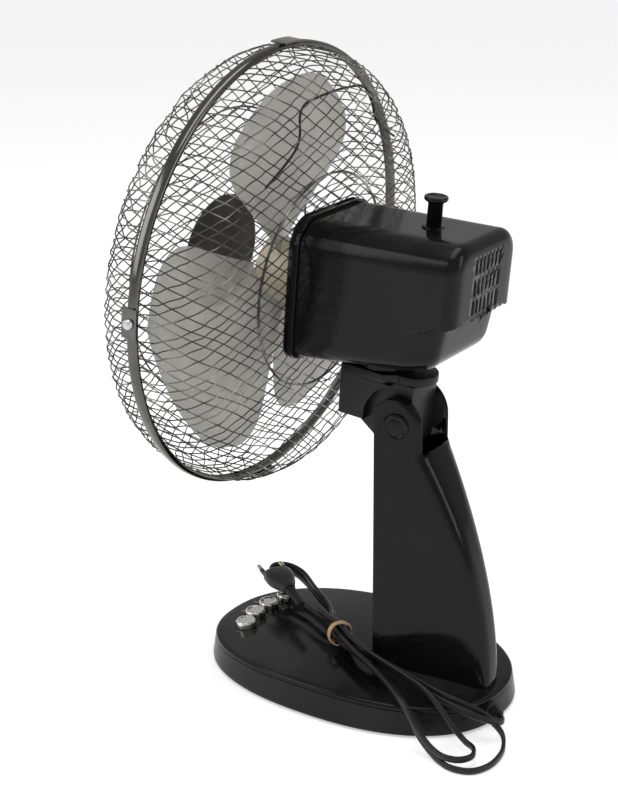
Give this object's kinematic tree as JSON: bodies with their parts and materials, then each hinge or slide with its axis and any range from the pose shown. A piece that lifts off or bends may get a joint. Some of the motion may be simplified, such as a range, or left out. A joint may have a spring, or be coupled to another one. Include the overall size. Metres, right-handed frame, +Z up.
{
  "type": "desk fan",
  "caption": "Desk fan with round mesh guards, a box-shaped motor housing on a tilting neck, a tapered column, an oval base with push buttons and a bundled mains cord.",
  "frame": {"origin": "middle of the base and the guards, on the surface the feet stand on", "axes": "+Z up; the fan blows towards -Y; +X is the side of the cord outlet and the bundled cord"},
  "size_m": [0.3522, 0.2947, 0.4973],
  "materials": {
    "black_gloss": "gloss",
    "black_matte": "satin",
    "dark_steel": "satin",
    "iron": "rough",
    "foot_rubber": "matte",
    "zinc_steel": "zinc plated",
    "pale_plastic": "satin",
    "button_chrome": "bright",
    "cord_rubber": "satin",
    "fibre": "matte",
    "bronze": "sintered",
    "core_steel": "laminated",
    "copper_wire": "enamelled",
    "cast_alloy": "die cast",
    "smoke_blade": "translucent smoke",
    "hub_plastic": "gloss",
    "guard_wire": "dark metallic",
    "dark_chrome": "dark chrome",
    "badge_plate": "textured",
    "band_rubber": "matte",
    "pin_brass": "bright"
  },
  "bodies": {
    "base": {"base_cover": "black_gloss", "base_plate": "dark_steel", "ballast_plate": "iron", "rubber_feet": "foot_rubber", "base_screws": "zinc_steel", "switch_body": "pale_plastic", "column_shell": "black_gloss", "column_front": "black_gloss", "column_screws": "zinc_steel", "cord_gland": "cord_rubber", "tilt_bolt": "zinc_steel", "tilt_nut": "zinc_steel", "friction_washers": "fibre", "pivot_caps": "black_gloss", "cord_tail": "cord_rubber", "cord_hank": "cord_rubber", "cord_band": "band_rubber", "plug_body": "cord_rubber", "plug_pins": "pin_brass"},
    "neck": {"neck_block": "black_matte", "swivel_spindle": "zinc_steel", "swivel_washer": "bronze"},
    "head": {"motor_cover": "black_gloss", "front_cover": "black_gloss", "cover_screws": "zinc_steel", "stator_core": "core_steel", "windings": "copper_wire", "front_bracket": "cast_alloy", "rear_bracket": "cast_alloy", "shaft_bushes": "bronze", "motor_bolts": "zinc_steel", "run_capacitor": "pale_plastic", "gearbox_case": "cast_alloy", "rear_guard": "guard_wire", "front_guard": "guard_wire", "guard_ring": "dark_chrome", "ring_clips": "dark_chrome", "clip_screws": "zinc_steel", "badge": "badge_plate", "guard_nut": "black_matte"},
    "rotor": {"rotor_core": "core_steel", "motor_shaft": "zinc_steel", "impeller": "smoke_blade", "impeller_nut": "hub_plastic"},
    "crank": {"worm_wheel": "pale_plastic", "crank_gear": "pale_plastic", "crank_link": "zinc_steel"},
    "knob": {"osc_knob": "black_gloss"},
    "button_0": {"button_0": "button_chrome"},
    "button_1": {"button_1": "button_chrome"},
    "button_2": {"button_2": "button_chrome"},
    "button_3": {"button_3": "button_chrome"}
  },
  "joints": [
    {"name": "tilt", "type": "hinge", "parent": "base", "child": "neck", "pos_m": [0, 0.046, 0.228], "axis": [1, 0, 0], "range_deg": [-15, 20]},
    {"name": "oscillate", "type": "hinge", "parent": "neck", "child": "head", "pos_m": [0, 0.02159, 0.27029], "axis": [0, 0.0872, 0.9962], "range_deg": [-40, 40]},
    {"name": "fan_spin", "type": "hinge", "parent": "head", "child": "rotor", "pos_m": [0, -0.06614, 0.32314], "axis": [0, 0.9962, -0.0872], "continuous": true},
    {"name": "crank_turn", "type": "hinge", "parent": "head", "child": "crank", "pos_m": [-0.0179, 0.04015, 0.29878], "axis": [0, 0.0872, 0.9962], "continuous": true},
    {"name": "knob_slide", "type": "slide", "parent": "head", "child": "knob", "axis": [0, 0.0872, 0.9962], "range_m": [-0.012, 0]},
    {"name": "button_0_press", "type": "slide", "parent": "base", "child": "button_0", "axis": [0, 0, -1], "range_m": [0, 0.004], "stiffness_N_per_m": 400, "springref_m": -0.002},
    {"name": "button_1_press", "type": "slide", "parent": "base", "child": "button_1", "axis": [0, 0, -1], "range_m": [0, 0.004], "stiffness_N_per_m": 400, "springref_m": -0.002},
    {"name": "button_2_press", "type": "slide", "parent": "base", "child": "button_2", "axis": [0, 0, -1], "range_m": [0, 0.004], "stiffness_N_per_m": 400, "springref_m": -0.002},
    {"name": "button_3_press", "type": "slide", "parent": "base", "child": "button_3", "axis": [0, 0, -1], "range_m": [0, 0.004], "stiffness_N_per_m": 400, "springref_m": -0.002}
  ],
  "couplings": [
    {"joint": "crank_turn", "follows": "fan_spin", "ratio": 0.025}
  ]
}
